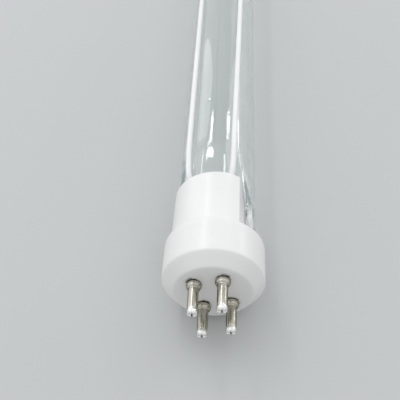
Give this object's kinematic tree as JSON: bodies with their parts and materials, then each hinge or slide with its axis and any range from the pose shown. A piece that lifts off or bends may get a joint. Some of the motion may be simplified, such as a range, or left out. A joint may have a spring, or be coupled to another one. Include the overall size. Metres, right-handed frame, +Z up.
{
  "type": "ultraviolet lamp",
  "caption": "Single-ended germicidal lamp: clear quartz tube pressed flat at its ends, white ceramic base with contact pins, white return wires outside the tube and a plain end cap.",
  "frame": {"origin": "middle of the flat ceramic face that carries the pins", "axes": "+Y along the tube away from the pins, -Y out of the pin face, +Z up with the lamp lying on its side, +X to the right as seen from the pins"},
  "size_m": [0.0226, 0.2952, 0.0226],
  "materials": {
    "white_glaze": "smooth white glaze",
    "cement": "matt white cement",
    "nickel_plate": "bright nickel plate",
    "quartz": "clear fused quartz",
    "tungsten": "drawn grey tungsten",
    "molybdenum": "dull grey molybdenum",
    "white_insulation": "smooth white wire insulation",
    "mercury": "liquid metal"
  },
  "bodies": {
    "root": {"base_shell": "white_glaze", "end_cap": "white_glaze", "base_cement": "cement", "end_cap_cement": "cement", "contact_pin_upper_left": "nickel_plate", "contact_pin_upper_right": "nickel_plate", "contact_pin_lower_left": "nickel_plate", "contact_pin_lower_right": "nickel_plate", "splice_sleeve_left": "nickel_plate", "splice_sleeve_right": "nickel_plate", "quartz_envelope": "quartz", "filament_near": "tungsten", "filament_far": "tungsten", "inner_lead_near_left": "tungsten", "inner_lead_near_right": "tungsten", "inner_lead_far_left": "tungsten", "inner_lead_far_right": "tungsten", "foil_near_left": "molybdenum", "foil_near_right": "molybdenum", "foil_far_left": "molybdenum", "foil_far_right": "molybdenum", "outer_lead_near_left": "molybdenum", "outer_lead_near_right": "molybdenum", "outer_lead_far_left": "molybdenum", "outer_lead_far_right": "molybdenum", "return_wire_left": "white_insulation", "return_wire_right": "white_insulation", "mercury_drop": "mercury"}
  },
  "joints": []
}
